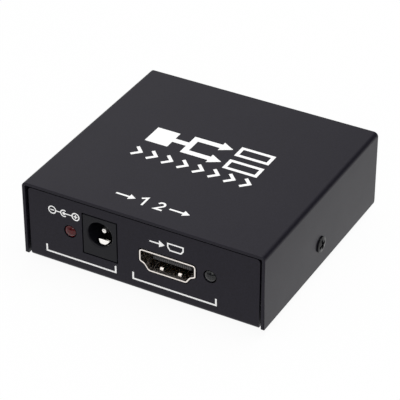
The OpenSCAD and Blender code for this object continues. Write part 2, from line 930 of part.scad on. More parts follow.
module jack_body() {
    base_y = sheet_t + jack_gap;
    slot_w = leaf_w + 2 * moving_play;
    slot_front = leaf_front.x - moving_play;
    slot_back = leaf_root.x + leaf_curl_r + moving_play;
    ear_drop = (leaf_root.x - ear_y[0]) * sin(leaf_swing);
    ear_low = leaf_height(ear_y[1]) - leaf_t - ear_drop - moving_play;
    window_h = shunt_z + terminal_t + mould_play - ear_low;
    color(mould_black)
        at_jack()
            difference() {
                union() {
                    translate([-jack_w / 2, 0, jack_flange_lift - jack_axis_h])
                        cube([jack_w, jack_flange_l, jack_h - jack_flange_lift]);
                    inward(0, jack_l)
                        circle(d = jack_barrel_d);
                    translate([-jack_barrel_d / 2, base_y, -jack_axis_h])
                        cube([jack_barrel_d, jack_l - base_y, jack_axis_h]);
                }
                inward(-cut, jack_bore_l)
                    circle(d = jack_bore_d);
                translate([0, -jack_lip, 0])
                    rotate([-90, 0, 0])
                        cylinder(d1 = jack_bore_d + 4 * jack_lip, d2 = jack_bore_d, h = 2 * jack_lip);
                inward(jack_bore_l - cut, jack_l)
                    circle(d = pin_seat_d + 2 * mould_play);
                // Pocket behind the back wall, for the pin's terminal
                translate([-pocket_w / 2, jack_bore_l + jack_back_l, -jack_axis_h - cut])
                    cube([pocket_w, jack_l, jack_axis_h + cut + pocket_w / 2]);
                // Slot in the bore's floor, for the leaf spring
                translate([-slot_w / 2, slot_front, leaf_slot_floor])
                    cube([slot_w, slot_back - slot_front, -jack_pin_d / 2 - leaf_slot_floor]);
                // Window in the side, for the spring's ear and the shunt contact
                translate([0, ear_y[0] - moving_play, ear_low])
                    cube([jack_w, ear_l + 2 * moving_play, window_h]);
                sleeve_terminal(mould_play);
            }
}

module jack_centre_pin() {
    pin_back = pin_terminal_y + terminal_t + rivet_l;
    color(nickel)
        at_jack() {
            translate([0, jack_pin_tip, 0])
                rotate([-90, 0, 0])
                    difference() {
                        cylinder(d1 = jack_pin_d - 2 * pin_chamfer, d2 = jack_pin_d, h = pin_taper_l);
                        cylinder(d1 = pin_dimple_d, d2 = 0, h = pin_dimple_l);
                    }
            inward(jack_pin_tip + pin_taper_l, jack_bore_l)
                circle(d = jack_pin_d);
            inward(jack_bore_l, pin_terminal_y)
                circle(d = pin_seat_d);
            inward(pin_terminal_y, pin_back)
                circle(d = rivet_d);
            pin_terminal(0);
        }
}

module jack_sleeve_foot() {
    color(nickel)
        at_jack()
            sleeve_terminal(0);
}

module leaf_profile() {
    half = [0, leaf_t / 2];
    end_r = leaf_t / 4;
    polygon(rounded([
        leaf_front - half, leaf_crest - half, leaf_root - half,
        leaf_root + half, leaf_crest + half, leaf_front + half
    ], [end_r, leaf_crest_r, end_r, end_r, leaf_crest_r, end_r]));
}

// The leaf's outline from above, with its front corners rounded off
module leaf_plan() {
    half = leaf_w / 2;
    back = leaf_root.x + leaf_curl_r;
    end_r = leaf_t / 4;
    translate([0, 0, -jack_axis_h])
        linear_extrude(jack_axis_h)
            polygon(rounded(
                [[-half, leaf_front.x], [half, leaf_front.x], [half, back], [-half, back]],
                [leaf_front_r, leaf_front_r, end_r, end_r]
            ));
}

module jack_sleeve_spring() {
    color(nickel)
        at_jack() {
            intersection() {
                along_x(2 * leaf_w)
                    leaf_profile();
                leaf_plan();
            }
            intersection() {
                along_x(2 * ear_x)
                    leaf_profile();
                translate([0, ear_y[0], -jack_axis_h])
                    cube([ear_x, ear_l, jack_axis_h]);
            }
            translate([0, leaf_root.x, leaf_root.y])
                rotate([0, 90, 0])
                    cylinder(r = leaf_curl_r, h = leaf_w, center = true);
        }
}

module jack_shunt_contact() {
    shunt_l = jack_barrel_d / 2 + mould_play + terminal_t - shunt_x;
    color(nickel)
        at_jack() {
            shunt_terminal(0);
            translate([shunt_x, ear_y[0], shunt_z])
                cube([shunt_l, ear_l, terminal_t]);
        }
}

// Lamps, from the panel's face and into the case along +Y

module led_lens() {
    flat = led_flange_d / 2 - led_flat_cut;
    dome_y = led_dome_r - led_proud;
    intersection() {
        translate([0, dome_y, 0])
            sphere(led_dome_r);
        inward(-led_proud, dome_y)
            circle(d = led_d);
    }
    inward(min(dome_y, led_back_y - led_flange_t), led_back_y)
        circle(d = led_d);
    difference() {
        inward(led_back_y - led_flange_t, led_back_y)
            circle(d = led_flange_d);
        translate([flat, 0, -led_flange_d])
            cube([led_flange_d, 2 * led_l, 2 * led_flange_d]);
    }
}

module led_leads() {
    low = -led_axis_h - board_t - post_below;
    half = led_lead_w / 2;
    post_y = led_back_y + led_lead_reach;
    for (side = [-1, 1])
        translate([side * led_lead_pitch / 2, 0, 0])
            along_x(led_lead_w)
                polygon([
                    [led_back_y, -half], [post_y - half, -half], [post_y - half, low],
                    [post_y + half, low], [post_y + half, half], [led_back_y, half]
                ]);
}

// Holes in the board that the leads pass through
module led_lead_posts(play) {
    low = -led_axis_h - board_t - post_below;
    for (side = [-1, 1])
        translate([side * led_lead_pitch / 2, led_back_y + led_lead_reach, low])
            cylinder(d = sqrt(2) * led_lead_w + play, h = board_t + 2 * post_below);
}

module power_led() {
    color(red_lens)
        at_panel(power_led_x, false, led_axis_h)
            led_lens();
}

module power_led_leads() {
    color(tin)
        at_panel(power_led_x, false, led_axis_h)
            led_leads();
}

module input_led() {
    color(clear_lens)
        at_panel(input_x + socket_led_step, false, led_axis_h)
            led_lens();
}

module input_led_leads() {
    color(tin)
        at_panel(input_x + socket_led_step, false, led_axis_h)
            led_leads();
}

module output_led(i) {
    color(clear_lens)
        at_panel(output_x[i] - socket_led_step, true, led_axis_h)
            led_lens();
}

module output_led_leads(i) {
    color(tin)
        at_panel(output_x[i] - socket_led_step, true, led_axis_h)
            led_leads();
}

// Parts soldered on the board

// One lead: straight out of the body, down, and flat on the board
module gull_wing(w, reach, rise) {
    shoulder = reach * 0.3;
    heel = reach * 0.45;
    along_x(w)
        polygon([
            [0, rise], [shoulder, rise], [heel, 0], [reach, 0],
            [reach, lead_t], [heel + lead_t, lead_t], [shoulder + lead_t, rise + lead_t], [0, rise + lead_t]
        ]);
}

module lead_row(count, pitch, side_y, w, reach, rise) {
    for (i = [0 : count - 1])
        translate([(i - (count - 1) / 2) * pitch, side_y, 0])
            gull_wing(w, reach, rise);
}

// Moulded chip body with the round mark of its first lead
module chip_body(w, l, t) {
    mark_r = min(w, l) / 14;
    difference() {
        translate([0, 0, chip_lift])
            linear_extrude(t)
                rounded_rectangle(w, l, mark_r / 2);
        translate([-w / 2 + 3 * mark_r, -l / 2 + 3 * mark_r, t])
            cylinder(r = mark_r, h = t);
    }
}

module splitter_chip() {
    color(chip_black)
        at_on_board(chip_at)
            chip_body(chip_w, chip_w, chip_t);
}

module splitter_chip_leads() {
    color(tin)
        at_on_board(chip_at)
            for (turn = [0 : 90 : 270])
                rotate([0, 0, turn])
                    lead_row(chip_lead_count, chip_pitch, chip_w / 2, chip_lead_w, chip_lead_l, chip_t / 2);
}

module memory_chips() {
    color(chip_black)
        for (place = memory_at)
            at_on_board(place)
                chip_body(memory_l, memory_w, memory_t);
}

module memory_chip_leads() {
    side_y = memory_w / 2;
    rise = memory_t / 2;
    color(tin)
        for (place = memory_at, turn = [0, 180])
            at_on_board(place)
                rotate([0, 0, turn])
                    lead_row(memory_lead_count, memory_pitch, side_y, memory_lead_w, memory_lead_l, rise);
}

module voltage_regulators() {
    color(chip_black)
        for (place = regulator_at)
            at_on_board(place)
                chip_body(regulator_l, regulator_w, regulator_t);
}

module voltage_regulator_leads() {
    side_y = regulator_w / 2;
    rise = regulator_t / 2;
    color(tin)
        for (place = regulator_at)
            at_on_board(place) {
                lead_row(1, 0, side_y, regulator_tab_w, regulator_lead_l, rise);
                rotate([0, 0, 180])
                    lead_row(
                        regulator_lead_count, regulator_pitch, side_y,
                        regulator_lead_w, regulator_lead_l, rise
                    );
            }
}

module crystal() {
    rim_w = crystal_w + 2 * crystal_foot;
    color(aluminium)
        at_on_board(crystal_at) {
            linear_extrude(crystal_foot_t)
                rounded_rectangle(crystal_l + 2 * crystal_foot, rim_w, crystal_w / 2);
            linear_extrude(crystal_h)
                rounded_rectangle(crystal_l, crystal_w, crystal_w / 2 - crystal_foot / 4);
        }
}

module capacitor_cans() {
    r = capacitor_d / 2;
    top = capacitor_h - capacitor_seat_h;
    edge = capacitor_groove;
    color(aluminium)
        for (place = capacitor_at)
            at_on_board(place)
                translate([0, 0, capacitor_seat_h])
                    rotate_extrude()
                        polygon([
                            [0, 0], [r - edge, 0], [r, edge], [r, 3 * edge], [r - edge, 4 * edge],
                            [r - edge, 5 * edge], [r, 6 * edge], [r, top - edge], [r - edge, top], [0, top]
                        ]);
}

module capacitor_seats() {
    half = capacitor_seat_w / 2;
    corner = half - capacitor_chamfer;
    color(chip_black)
        for (place = capacitor_at)
            at_on_board(place)
                linear_extrude(capacitor_seat_h)
                    polygon([
                        [-half, -half], [corner, -half], [half, -corner],
                        [half, corner], [corner, half], [-half, half]
                    ]);
}

module power_inductor() {
    corner_r = inductor_w / 8;
    well_d = inductor_w * 0.7;
    color(resistor_black)
        at_on_board(inductor_at)
            difference() {
                linear_extrude(inductor_h)
                    rounded_rectangle(inductor_w, inductor_w, corner_r);
                translate([0, 0, inductor_h - corner_r / 2])
                    difference() {
                        cylinder(d = inductor_w, h = corner_r);
                        translate([0, 0, -cut])
                            cylinder(d = well_d, h = corner_r + 2 * cut);
                    }
            }
}

module protection_diode() {
    color(chip_black)
        at_on_board(diode_at) {
            translate([-diode_size.x / 2, -diode_size.y / 2, 0])
                cube(diode_size);
            translate([-diode_tab.x / 2, -diode_tab.y / 2, 0])
                cube(diode_tab);
        }
}

module surge_arrays() {
    tail_y = socket_l + mould_play + contact_t + contact_foot_l;
    color(chip_black)
        at_every_socket()
            translate([-surge_size.x / 2, tail_y + surge_gap - surge_size.y / 2, -socket_axis_h])
                cube(surge_size);
}

// Rows of chip parts on both sides of the splitter chip
module chip_row_places(row_y) {
    for (side = [-1, 1], i = [0 : chip_row_count - 1])
        at_on_board([chip_at.x + (i - (chip_row_count - 1) / 2) * chip_row_pitch, chip_at.y + side * row_y])
            children();
}

module chip_part_body() {
    body_l = chip_part_l - 2 * chip_part_cap;
    translate([-chip_part_w / 2, -body_l / 2, 0])
        cube([chip_part_w, body_l, chip_part_h]);
}

module chip_resistors() {
    color(resistor_black)
        chip_row_places(resistor_row_y)
            chip_part_body();
}

module chip_capacitors() {
    color(ceramic_tan)
        chip_row_places(capacitor_row_y)
            chip_part_body();
}

module chip_terminals() {
    color(tin)
        for (row_y = [capacitor_row_y, resistor_row_y])
            chip_row_places(row_y)
                for (end = [-1, 1])
                    translate([0, end * (chip_part_l - chip_part_cap) / 2, chip_part_h / 2])
                        cube([chip_part_w, chip_part_cap, chip_part_h], center = true);
}

top_cover();
base_tray();
cover_screws();
rubber_feet();
board_standoffs();
board_screws();
main_board();
input_shell();
input_insulator();
input_contacts();
output_shell(0);  // output_1_shell
output_insulator(0);  // output_1_insulator
output_contacts(0);  // output_1_contacts
output_shell(1);  // output_2_shell
output_insulator(1);  // output_2_insulator
output_contacts(1);  // output_2_contacts
jack_body();
jack_centre_pin();
jack_sleeve_foot();
jack_sleeve_spring();
jack_shunt_contact();
power_led();
power_led_leads();
input_led();
input_led_leads();
output_led(0);  // output_1_led
output_led_leads(0);  // output_1_led_leads
output_led(1);  // output_2_led
output_led_leads(1);  // output_2_led_leads
splitter_chip();
splitter_chip_leads();
memory_chips();
memory_chip_leads();
voltage_regulators();
voltage_regulator_leads();
crystal();
capacitor_cans();
capacitor_seats();
power_inductor();
protection_diode();
surge_arrays();
chip_resistors();
chip_capacitors();
chip_terminals();
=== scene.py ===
"""A small video splitter in a folded steel case: one socket in, two sockets out."""
import math

import bmesh
import bpy
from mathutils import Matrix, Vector


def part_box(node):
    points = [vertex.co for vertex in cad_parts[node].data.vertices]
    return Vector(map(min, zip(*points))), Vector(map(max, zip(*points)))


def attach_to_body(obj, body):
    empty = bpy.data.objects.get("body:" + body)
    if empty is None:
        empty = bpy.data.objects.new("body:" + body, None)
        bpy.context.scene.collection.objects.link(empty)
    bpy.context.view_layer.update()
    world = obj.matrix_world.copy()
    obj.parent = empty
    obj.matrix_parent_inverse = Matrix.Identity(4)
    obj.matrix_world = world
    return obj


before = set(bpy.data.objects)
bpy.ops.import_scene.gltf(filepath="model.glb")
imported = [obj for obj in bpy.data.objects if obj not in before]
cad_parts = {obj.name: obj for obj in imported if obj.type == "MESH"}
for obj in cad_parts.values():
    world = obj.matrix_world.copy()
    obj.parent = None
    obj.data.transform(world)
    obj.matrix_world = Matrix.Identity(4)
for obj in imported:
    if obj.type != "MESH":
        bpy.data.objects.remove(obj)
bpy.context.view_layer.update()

# Sizes are in millimetres until they are multiplied by MM
MM = 0.001

# Camera: the photograph's angle on the front right corner, and its long lens
VIEW_AZIMUTH = 28.88
VIEW_ELEVATION = 33.74
VIEW_DISTANCE = 468.3
VIEW_TARGET = Vector((-0.74, -0.37, 9.75))
LENS = 174.45
SENSOR = 36

# White print: film thickness, and how far it bites into the paint under it
INK_FILM = 0.02
INK_BITE = 0.01

# Print on the front panel: heights above the case's underside
BRACKET_BAR = 2.95
BRACKET_TOP = 4.8
CAPTION_LEVEL = 15.1

# Width of a bracket's line, and how far each bracket reaches past the middles of its outer pieces
BRACKET_STROKE = 0.44
POWER_BRACKET_LEFT = 6.7
POWER_BRACKET_RIGHT = 4.1
INPUT_BRACKET_LEFT = 9.15
INPUT_BRACKET_RIGHT = 1.6

# How far the captions stand to the left of the power lamp and of the input socket
POLARITY_SHIFT = 1.55
INPUT_SHIFT = 0.2

# Half the width of an arrow's head, as a share of its length
ARROW_WING = 0.62

# Distance between the grooves of a socket's tongue: one for each contact of its two staggered rows
GROOVE_PITCH = 0.5
# Length of one wave of the wave texture, at a scale of 1
WAVE_LENGTH = math.pi / 10

# Lamp innards: depths are measured from the tip of the lens
CUP_DEPTH = 2.3
CUP_FLOOR = 2.75
CUP_BASE = 2.95
CUP_R = 0.62
CUP_RIM = 0.1
CUP_FLOOR_R = 0.26
CUP_CORE_R = 0.02
FRAME_T = 0.44
# How far the anvil stands into the cup's floor, and the frame's ends stay inside the lens
ANVIL_BITE = 0.05
FRAME_INSET = 0.1

# Broken edges: the round that paint, plating or the mould leaves on each node's edges
EDGE_ROUNDS = {
    "top_cover": 0.08, "base_tray": 0.02, "cover_screws": 0.06, "rubber_feet": 0.08, "jack_body": 0.12,
    "input_shell": 0.06, "output_1_shell": 0.06, "output_2_shell": 0.06,
}
ROUND_SEGMENTS = 3
ROUND_ANGLE = math.radians(40)
SMOOTH_ANGLE = math.radians(32)
SEAM_GAP = 0.001

# Way from the object to the middle of the white ceiling: up, and a little to the left
CEILING_WAY = (-0.5, 0, 0.87)
# How far towards that middle the dark wall ends, and where the ceiling is fully lit
WALL_END = 0.4
CEILING_FULL = 0.8

WHITE = (1, 1, 1, 1)


def node_middle(node):
    """Middle of a node's box, in millimetres."""
    low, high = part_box(node)
    return (low + high) / (2 * MM)


COVER_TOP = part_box("top_cover")[1].z / MM
FRONT_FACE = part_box("base_tray")[0].y / MM
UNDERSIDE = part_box("base_tray")[0].z / MM


# Node trees

def linear(hex_colour):
    """An sRGB hex colour as linear red, green and blue, with full alpha."""
    shares = [int(hex_colour[i:i + 2], 16) / 255 for i in (1, 3, 5)]
    light = [s / 12.92 if s <= 0.04045 else ((s + 0.055) / 1.055) ** 2.4 for s in shares]
    return (*light, 1)


def empty_tree(owner):
    """The node tree of a material or a world, with nothing in it yet."""
    owner.use_nodes = True
    owner.node_tree.nodes.clear()
    return owner.node_tree


def add_node(tree, kind, inputs=None, **settings):
    """Adds a node: its settings, and inputs that are values or other nodes' outputs."""
    made = tree.nodes.new(kind)
    for name, value in settings.items():
        setattr(made, name, value)
    for name, value in (inputs or {}).items():
        if isinstance(value, bpy.types.NodeSocket):
            tree.links.new(value, made.inputs[name])
        else:
            made.inputs[name].default_value = value
    return made


def per_metre(size):
    """Pattern scale for features of a size in millimetres."""
    return 1 / (size * MM)


def noise(tree, place, size, detail=2):
    """Cloudy marks of a size in millimetres."""
    made = add_node(tree, "ShaderNodeTexNoise", {"Vector": place, "Scale": per_metre(size), "Detail": detail})
    return made.outputs["Fac"]


def blend(tree, marks, tones, reach=(0.3, 0.7)):
    """Colour that follows the marks from one tone to another, over a share of their range."""
    made = add_node(tree, "ShaderNodeValToRGB", {"Fac": marks})
    for element, position, tone in zip(made.color_ramp.elements, reach, tones):
        element.position = position
        element.color = linear(tone)
    return made.outputs["Color"]


def spread(tree, marks, levels):
    """A value that follows the marks from one level to another."""
    made = add_node(tree, "ShaderNodeMapRange", {"Value": marks, "To Min": levels[0], "To Max": levels[1]})
    return made.outputs["Result"]


def relief(tree, marks, strength, depth, **under):
    """Bumps of a depth in millimetres, on the plain surface or on the bumps under them."""
    made = add_node(tree, "ShaderNodeBump",
                    {"Height": marks, "Strength": strength, "Distance": depth * MM, **under})
    return made.outputs["Normal"]


def new_surface(name, **inputs):
    """A material with one shader: the material, its tree, that shader and the object's own coordinates."""
    material = bpy.data.materials.new(name)
    tree = empty_tree(material)
    plain = {key.replace("_", " "): value for key, value in inputs.items()}
    shader = add_node(tree, "ShaderNodeBsdfPrincipled", plain)
    add_node(tree, "ShaderNodeOutputMaterial", {"Surface": shader.outputs["BSDF"]})
    place = add_node(tree, "ShaderNodeTexCoord").outputs["Object"]
    return material, tree, shader, place


def attach(tree, shader, **outputs):
    """Links pattern outputs to the shader's sockets."""
    for key, output in outputs.items():
        tree.links.new(output, shader.inputs[key.replace("_", " ")])


# Finishes

def powder_coated_steel():
    """Black satin powder coat with a violet cast: fine orange peel and grit break up the reflected room."""
    material, tree, shader, place = new_surface("powder_coated_steel", Specular_IOR_Level=0.18,
                                                Specular_Tint=linear("#f5eeff"))
    cloud = noise(tree, place, size=9, detail=3)
    peel = noise(tree, place, size=0.9)
    grit = noise(tree, place, size=0.28)
    waves = relief(tree, peel, strength=0.25, depth=0.03)
    attach(tree, shader,
           Base_Color=blend(tree, grit, ("#121116", "#1a1921")),
           Roughness=spread(tree, cloud, (0.28, 0.36)),
           Normal=relief(tree, grit, strength=0.3, depth=0.02, Normal=waves))
    return material


def screen_printed_ink():
    """White ink pulled through a screen: matt and opaque, with the faint tooth of the mesh."""
    material, tree, shader, place = new_surface("screen_printed_ink", Specular_IOR_Level=0.3)
    tooth = noise(tree, place, size=0.25)
    attach(tree, shader,
           Base_Color=blend(tree, tooth, ("#f4f4f4", "#fdfdfc"), reach=(0.25, 0.6)),
           Roughness=spread(tree, tooth, (0.45, 0.6)),
           Normal=relief(tree, tooth, strength=0.2, depth=0.01))
    return material


def metal(name, tones, roughness, streak, grain):
    """A plated or drawn metal: two tones along its grain, and a roughness that follows the same marks.
    Streak is the length of the marks along Y and grain their width, in millimetres."""
    material, tree, shader, place = new_surface(name, Metallic=1)
    squeeze = add_node(tree, "ShaderNodeMapping", {"Vector": place, "Scale": (1, grain / streak, 1)})
    marks = noise(tree, squeeze.outputs["Vector"], size=grain, detail=3)
    attach(tree, shader,
           Base_Color=blend(tree, marks, tones),
           Roughness=spread(tree, marks, roughness),
           Normal=relief(tree, marks, strength=0.15, depth=0.01))
    return material


def moulding(name, tones, roughness, texture, depth, **inputs):
    """A moulded or pressed body: the mould's fine texture in its colour, gloss and height.
    Texture is the size of the mould's marks and depth their height, in millimetres."""
    material, tree, shader, place = new_surface(name, **inputs)
    marks = noise(tree, place, size=texture, detail=3)
    attach(tree, shader,
           Base_Color=blend(tree, marks, tones),
           Roughness=spread(tree, marks, roughness),
           Normal=relief(tree, marks, strength=0.4, depth=depth))
    return material


def cast_epoxy(name, tones, roughness, clearness):
    """Clear or dyed epoxy cast in a polished mould: a lens with faint streaks from the pour."""
    material, tree, shader, place = new_surface(name, IOR=1.53, Transmission_Weight=clearness,
                                                Specular_IOR_Level=0.12)
    pour = noise(tree, place, size=0.8)
    attach(tree, shader, Base_Color=blend(tree, pour, tones), Roughness=spread(tree, pour, roughness))
    return material


def fluted_polymer():
    """Black polymer with a moulded groove for every contact, with painted shade and painted highlight along
    those grooves as dark and pale bars.
    """
    material, tree, shader, place = new_surface("moulded_fluted_polymer", Specular_IOR_Level=0.4)
    wave = add_node(tree, "ShaderNodeTexWave",
                    {"Vector": place, "Scale": WAVE_LENGTH * per_metre(GROOVE_PITCH)},
                    wave_type="BANDS", bands_direction="X")
    # Dark bars are painted shade in the grooves, and pale bars are painted highlight between them
    painted_groove_light_and_shade = wave.outputs["Fac"]
    fibres = noise(tree, place, size=0.2)
    attach(tree, shader,
           Base_Color=blend(tree, painted_groove_light_and_shade, ("#18181a", "#48484a"), reach=(0.25, 0.6)),
           Roughness=spread(tree, fibres, (0.4, 0.55)),
           Normal=relief(tree, painted_groove_light_and_shade, strength=0.5, depth=0.05))
    return material


def solder_masked_laminate():
    """Glass laminate under green solder mask: glossy, with copper tracks showing as paler bands."""
    material, tree, shader, place = new_surface("solder_masked_laminate", Coat_Weight=0.4)
    tracks = add_node(tree, "ShaderNodeTexBrick",
                      {"Vector": place, "Scale": per_metre(10), "Mortar Size": 0.03, "Mortar Smooth": 0.1,
                       "Color1": linear("#17402c"), "Color2": linear("#1b4631"), "Mortar": linear("#2b6a49")})
    weave = noise(tree, place, size=0.5)
    attach(tree, shader,
           Base_Color=tracks.outputs["Color"],
           Roughness=spread(tree, weave, (0.25, 0.4)),
           Normal=relief(tree, tracks.outputs["Fac"], strength=0.4, depth=0.04))
    return material


paint = powder_coated_steel()
ink = screen_printed_ink()
# Stamped shells under bright nickel: a warm mirror with faint drawing lines along the shell
nickel_plate = metal("stamped_nickel_plated_steel", ("#ece4dd", "#faf4ee"), (0.16, 0.28), 4, 0.2)
# Turned brass under bright nickel: a clean mirror
bright_nickel = metal("bright_nickel_plated_brass", ("#e4e2df", "#f6f3ee"), (0.1, 0.2), 1.5, 0.15)
# Contacts: bronze under a thin flash of gold
gold_flash = metal("gold_flashed_bronze", ("#b98f45", "#d9b566"), (0.18, 0.3), 1.2, 0.1)
# Lamp and package leads: tin that has dulled
tin_plate = metal("tin_plated_copper", ("#a9abae", "#c9cbce"), (0.28, 0.42), 1, 0.2)
# Standoffs and board screws: zinc, slightly blue and satin
zinc_plate = metal("zinc_plated_steel", ("#a9aeb5", "#c6cad0"), (0.25, 0.38), 0.5, 0.3)
# Cans drawn from sheet: fine draw marks
aluminium_can = metal("drawn_aluminium_can", ("#b9bcc0", "#d6d8db"), (0.22, 0.34), 0.8, 0.25)
# Cover screws: steel blackened in a bath and oiled, as dark as the paint and a little glossier
black_oxide = moulding("blackened_steel", ("#0a090b", "#131215"), (0.2, 0.28), 0.3, 0.01,
                       Specular_IOR_Level=0.16)
# Jack housing: black nylon with a light spark-eroded texture
nylon = moulding("moulded_black_nylon", ("#0d0d12", "#14141a"), (0.34, 0.46), 0.3, 0.01,
                 Specular_IOR_Level=0.18)
# Capacitor seats: dull black polymer with short fibres in it
polymer = moulding("moulded_liquid_crystal_polymer", ("#0c0c0e", "#161618"), (0.45, 0.6), 0.2, 0.01)
# Feet: matt black rubber with a dusty bloom
rubber = moulding("moulded_rubber", ("#161617", "#222223"), (0.65, 0.85), 0.5, 0.03)
# Packages: dark grey epoxy, dull from the mould
package = moulding("moulded_epoxy_package", ("#1b1c1e", "#26272a"), (0.5, 0.65), 0.2, 0.01)
# Inductor core: pressed and sintered ferrite, grainy and dark
ferrite = moulding("sintered_ferrite", ("#26262a", "#37373c"), (0.55, 0.7), 0.3, 0.02)
# Chip resistors: black glass glaze
glaze = moulding("fired_resistor_glaze", ("#131418", "#1f2026"), (0.2, 0.32), 0.3, 0.005)
# Chip capacitors: buff fired ceramic
ceramic = moulding("fired_ceramic", ("#a98f6a", "#c0a981"), (0.4, 0.55), 0.3, 0.01)
# Lenses: one dyed dark red, the others clear epoxy with dark grey painted into its colour as the shade of the
# case behind them
red_epoxy = cast_epoxy("cast_red_epoxy", ("#550b11", "#6a1219"), (0.05, 0.1), 0.5)
# Clear lenses: the dark grey tones are painted shade, standing in for the dark case behind the lens
clear_epoxy_painted_shade = cast_epoxy("cast_clear_epoxy", ("#1b1c1e", "#282a2c"), (0.04, 0.08), 0.6)
tongue_polymer = fluted_polymer()
laminate = solder_masked_laminate()

FINISHES = {
    paint: ["top_cover", "base_tray"],
    black_oxide: ["cover_screws"],
    rubber: ["rubber_feet"],
    zinc_plate: ["board_standoffs", "board_screws"],
    laminate: ["main_board"],
    nickel_plate: ["input_shell", "output_1_shell", "output_2_shell", "crystal"],
    tongue_polymer: ["input_insulator", "output_1_insulator", "output_2_insulator"],
    polymer: ["capacitor_seats"],
    gold_flash: ["input_contacts", "output_1_contacts", "output_2_contacts"],
    nylon: ["jack_body"],
    bright_nickel: ["jack_centre_pin", "jack_sleeve_foot", "jack_sleeve_spring", "jack_shunt_contact"],
    red_epoxy: ["power_led"],
    clear_epoxy_painted_shade: ["input_led", "output_1_led", "output_2_led"],
    tin_plate: ["power_led_leads", "input_led_leads", "output_1_led_leads", "output_2_led_leads",
                "splitter_chip_leads", "memory_chip_leads", "voltage_regulator_leads", "chip_terminals"],
    package: ["splitter_chip", "memory_chips", "voltage_regulators", "protection_diode", "surge_arrays"],
    aluminium_can: ["capacitor_cans"],
    ferrite: ["power_inductor"],
    glaze: ["chip_resistors"],
    ceramic: ["chip_capacitors"],
}
for finish, nodes in FINISHES.items():
    for node in nodes:
        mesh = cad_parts[node].data
        mesh.materials.clear()
        mesh.materials.append(finish)


# Broken edges

def shading_by_angle():
    """Geometry nodes that shade a mesh smooth, apart from edges sharper than the angle."""
    tree = bpy.data.node_groups.new("shading_by_angle", "GeometryNodeTree")
    for way in ("INPUT", "OUTPUT"):
        tree.interface.new_socket("Geometry", in_out=way, socket_type="NodeSocketGeometry")
    source = add_node(tree, "NodeGroupInput")
    angle = add_node(tree, "GeometryNodeInputMeshEdgeAngle")
    sharp = add_node(tree, "FunctionNodeCompare",
                     {"A": angle.outputs["Unsigned Angle"], "B": SMOOTH_ANGLE}, operation="GREATER_THAN")
    shaded = add_node(tree, "GeometryNodeSetMeshNormal",
                      {"Mesh": source.outputs["Geometry"], "Remove Custom": True,
                       "Edge Sharpness": sharp.outputs["Result"]}, mode="SHARPNESS")
    add_node(tree, "NodeGroupOutput", {"Geometry": shaded.outputs["Mesh"]})
    return tree


shading = shading_by_angle()
for node, width in EDGE_ROUNDS.items():
    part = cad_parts[node]
    part.modifiers.new("joined_seams", "WELD").merge_threshold = SEAM_GAP * MM
    part.modifiers.new("shading", "NODES").node_group = shading
    rounding = part.modifiers.new("broken_edges", "BEVEL")
    rounding.width = width * MM
    rounding.segments = ROUND_SEGMENTS
    rounding.limit_method = "ANGLE"
    rounding.angle_limit = ROUND_ANGLE
    rounding.use_clamp_overlap = False
    rounding.harden_normals = True


# Meshes

def add_object(name, data):
    """Puts an object in the scene."""
    made = bpy.data.objects.new(name, data)
    bpy.context.scene.collection.objects.link(made)
    return made


def made_mesh(name, shape, finish):
    """The mesh of a finished shape, with its material."""
    mesh = bpy.data.meshes.new(name)
    shape.to_mesh(mesh)
    shape.free()
    mesh.materials.append(finish)
    return mesh


def new_piece(name, shape, finish):
    """Makes a shape into a piece of the fixed case."""
    bmesh.ops.recalc_face_normals(shape, faces=shape.faces)
    piece = add_object(name, made_mesh(name, shape, finish))
    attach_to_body(piece, "case")


def slab(shape, place, outline, low, high):
    """A flat solid inside an outline, between two lifts."""
    bottom = [shape.verts.new(place(u, v, low)) for u, v in outline]
    top = [shape.verts.new(place(u, v, high)) for u, v in outline]
    shape.faces.new(bottom)
    shape.faces.new(top)
    for i in range(len(outline)):
        j = (i + 1) % len(outline)
        shape.faces.new((bottom[i], bottom[j], top[j], top[i]))


# White print

def on_top(u, v, lift):
    """A point of the print on the cover: u to the right, v to the back."""
    return Vector((u, v, COVER_TOP + lift)) * MM


def on_front(u, v, lift):
    """A point of the print on the front panel: u to the right, v up."""
    return Vector((u, FRONT_FACE - lift, v)) * MM


def arc(middle, radius, start, end, steps):
    """Points along an arc, with its angles in degrees."""
    angles = [math.radians(start + (end - start) * i / steps) for i in range(steps + 1)]
    return [(middle[0] + radius * math.cos(a), middle[1] + radius * math.sin(a)) for a in angles]


def ring(middle, radius, count):
    """Points evenly round a circle."""
    return arc(middle, radius, 0, 360 - 360 / count, count - 1)


def stroke(shape, place, path, width, closed=False):
    """A band of ink of even width along a path, with mitred corners."""
    points = [Vector(point) for point in path]
    count = len(points)
    section = ((-INK_BITE, 1), (-INK_BITE, -1), (INK_FILM, -1), (INK_FILM, 1))
    rows = []
    for i, here in enumerate(points):
        before = points[i - 1] if closed or i else 2 * here - points[1]
        after = points[(i + 1) % count] if closed or i + 1 < count else 2 * here - before
        left_in = (here - before).orthogonal().normalized()
        left_out = (after - here).orthogonal().normalized()
        mitre = (left_in + left_out).normalized()
        reach = mitre * (width / 2 / mitre.dot(left_in))
        rows.append([shape.verts.new(place(*(here + side * reach), lift)) for lift, side in section])
    pairs = list(zip(rows, rows[1:]))
    if closed:
        pairs.append((rows[-1], rows[0]))
    else:
        shape.faces.new(rows[0])
        shape.faces.new(rows[-1])
    for a, b in pairs:
        for k in range(len(section)):
            m = (k + 1) % len(section)
            shape.faces.new((a[k], a[m], b[m], b[k]))


def patch(shape, place, outline):
    """A solid patch of ink inside an outline."""
    slab(shape, place, outline, -INK_BITE, INK_FILM)


def arrow(shape, place, left, tip, level, width, head):
    """An arrow to the right, in one outline: its shaft and a filled head of a given length."""
    neck = tip - head
    wing = ARROW_WING * head
    half = width / 2
    patch(shape, place, [(left, level - half), (neck, level - half), (neck, level - wing), (tip, level),
                         (neck, level + wing), (neck, level + half), (left, level + half)])


